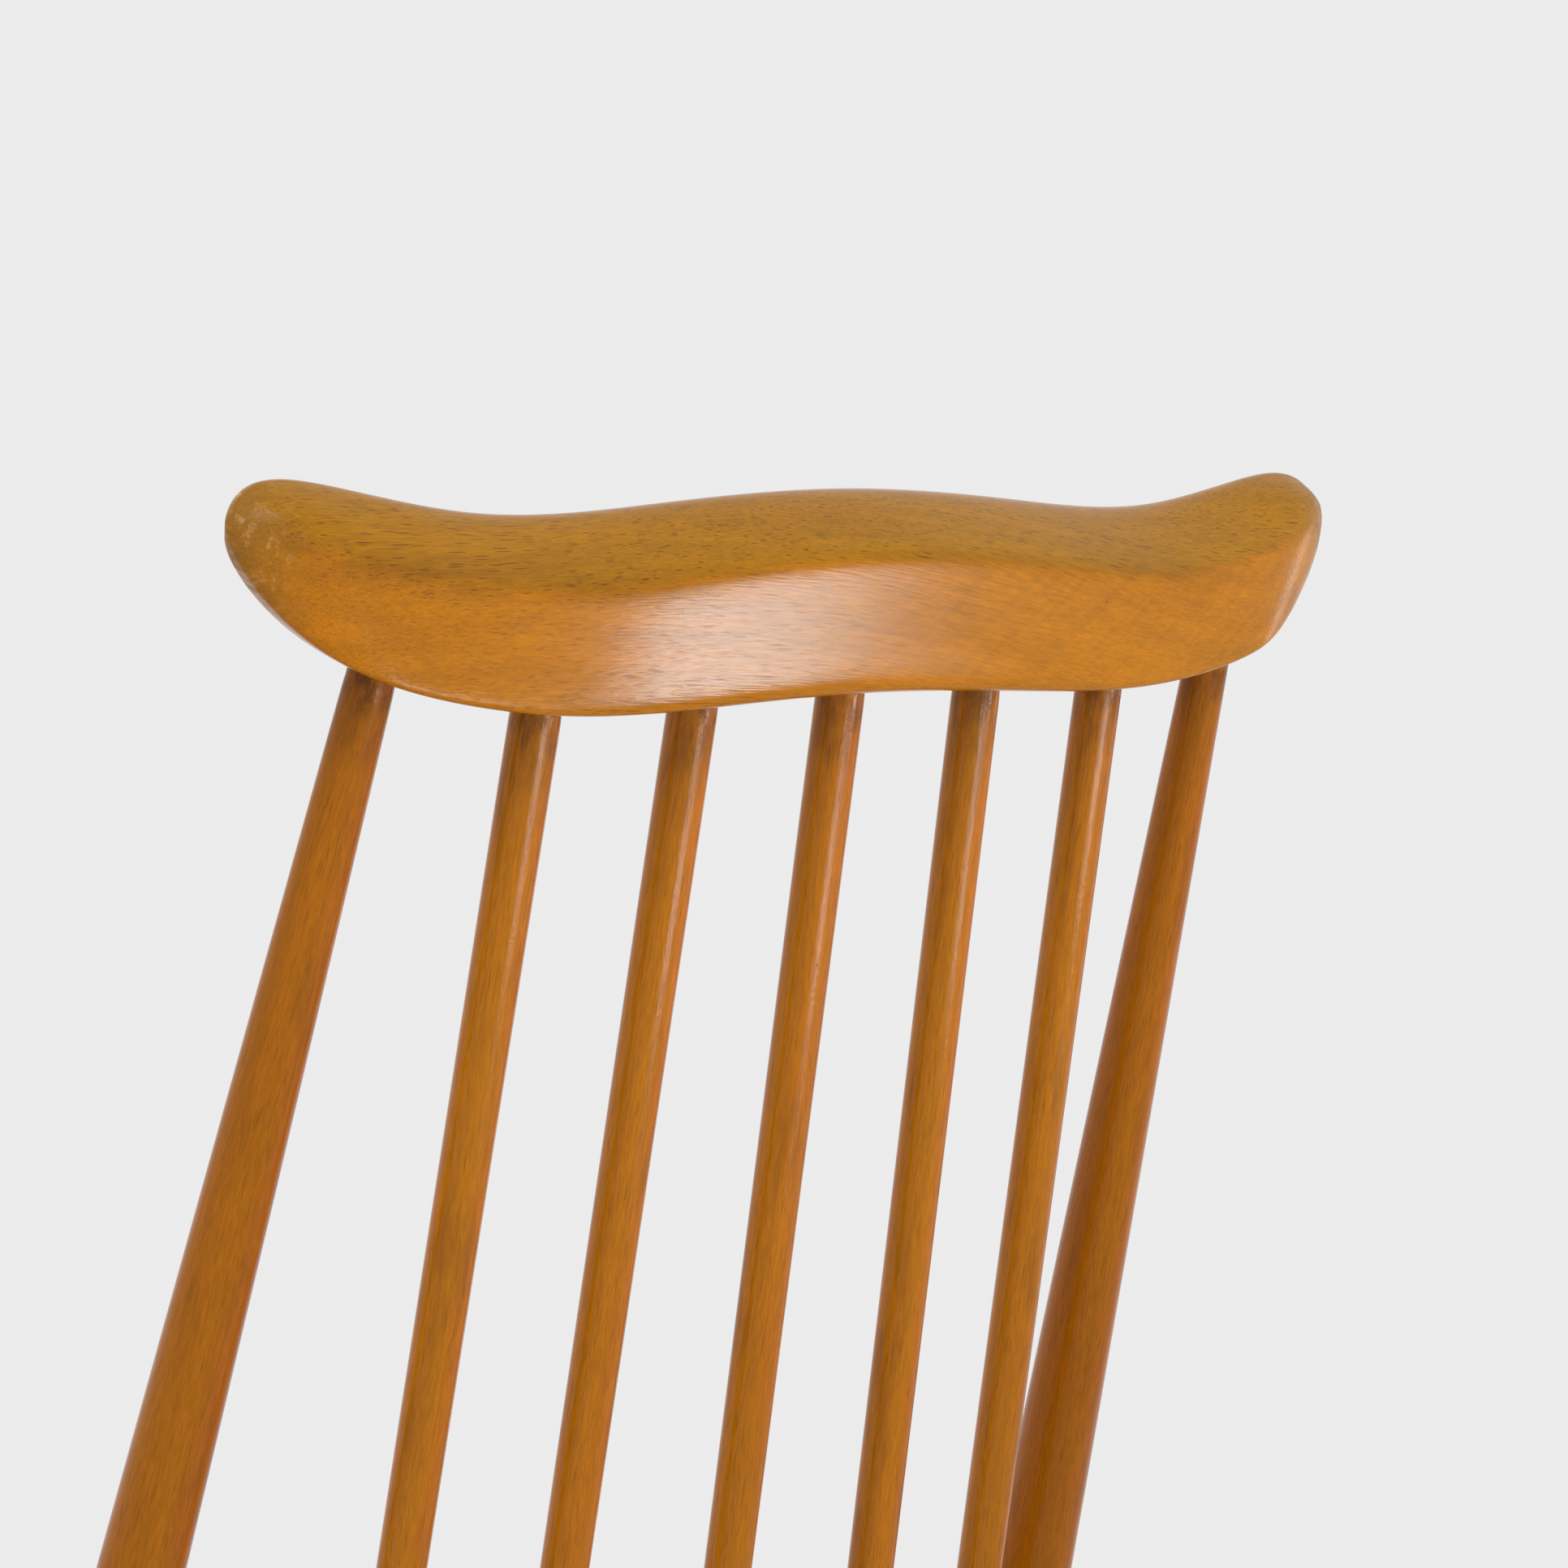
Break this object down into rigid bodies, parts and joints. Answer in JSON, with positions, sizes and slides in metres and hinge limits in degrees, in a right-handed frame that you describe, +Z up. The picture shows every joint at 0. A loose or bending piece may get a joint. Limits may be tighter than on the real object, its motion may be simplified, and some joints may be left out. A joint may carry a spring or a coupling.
{
  "type": "windsor chair",
  "caption": "Wooden windsor side chair with a saddled plank seat, raked turned legs tied by stretchers, and a comb of slim sticks under a carved, wavy crest rail.",
  "frame": {"origin": "on the floor, under the middle of the chair's box", "axes": "+Z up, -Y the way the sitter faces, +X to the sitter's left"},
  "size_m": [0.446, 0.5056, 0.9864],
  "materials": {
    "crest_beech": "satin lacquer over honey-stained beech",
    "stick_beech": "satin lacquer over amber-stained beech",
    "seat_elm": "satin lacquer over stained elm",
    "leg_beech": "satin lacquer over amber-stained beech",
    "wedge_beech": "satin lacquer over darker beech"
  },
  "bodies": {
    "root": {"crest_rail": "crest_beech", "spindle_1": "stick_beech", "spindle_2": "stick_beech", "spindle_3": "stick_beech", "spindle_4": "stick_beech", "spindle_5": "stick_beech", "back_post_left": "stick_beech", "back_post_right": "stick_beech", "seat": "seat_elm", "leg_front_left": "leg_beech", "leg_front_right": "leg_beech", "leg_rear_left": "leg_beech", "leg_rear_right": "leg_beech", "side_stretcher_left": "leg_beech", "side_stretcher_right": "leg_beech", "cross_stretcher": "leg_beech", "wedge_front_left": "wedge_beech", "wedge_front_right": "wedge_beech", "wedge_rear_left": "wedge_beech", "wedge_rear_right": "wedge_beech"}
  },
  "joints": []
}
